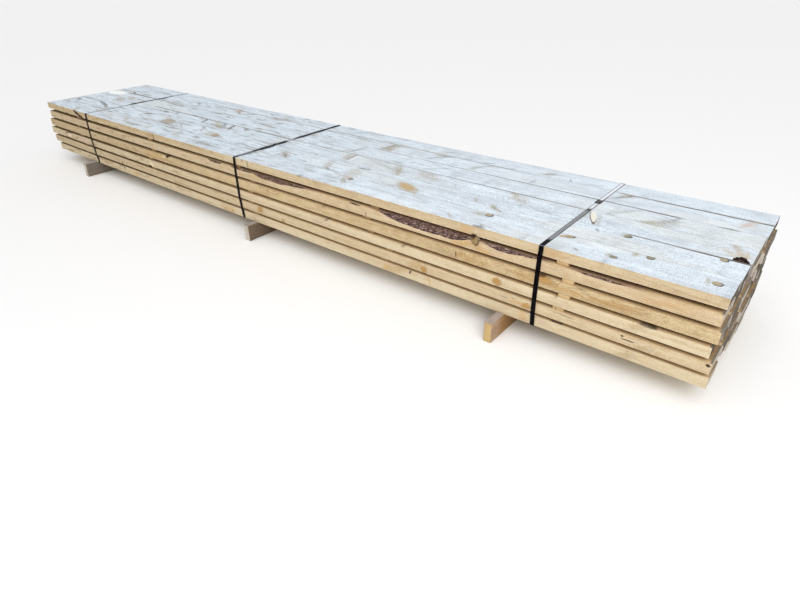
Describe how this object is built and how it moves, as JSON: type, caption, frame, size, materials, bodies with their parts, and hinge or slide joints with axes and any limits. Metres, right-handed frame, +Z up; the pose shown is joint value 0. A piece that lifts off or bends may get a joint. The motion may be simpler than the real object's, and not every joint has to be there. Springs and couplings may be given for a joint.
{
  "type": "stack of lumber",
  "caption": "Long stack of rough-sawn softwood planks in layers on thin stickers, bound by black straps and carried on low bearers.",
  "frame": {"origin": "middle of the stack's footprint, on the ground under the bearers", "axes": "+X along the planks to the right end, +Y from the front to the back, +Z up"},
  "size_m": [4.9264, 1.052, 0.4601],
  "materials": {
    "rough_softwood": "rough sawn, undressed, sun-bleached on top",
    "sticker_wood": "rough sawn lath",
    "weathered_wood": "rough sawn, weathered grey-brown",
    "black_strap": "smooth black strapping, glossy",
    "seal_metal": "dark crimped sheet metal"
  },
  "bodies": {
    "root": {"plank_layer_1": "rough_softwood", "plank_layer_2": "rough_softwood", "plank_layer_3": "rough_softwood", "plank_layer_4": "rough_softwood", "plank_layer_5": "rough_softwood", "plank_layer_6": "rough_softwood", "stickers_1": "sticker_wood", "stickers_2": "sticker_wood", "stickers_3": "sticker_wood", "stickers_4": "sticker_wood", "stickers_5": "sticker_wood", "bearer_left": "weathered_wood", "bearer_middle": "weathered_wood", "bearer_right": "weathered_wood", "strap_left": "black_strap", "strap_middle": "black_strap", "strap_right": "black_strap", "seal_left": "seal_metal", "seal_middle": "seal_metal", "seal_right": "seal_metal"}
  },
  "joints": []
}
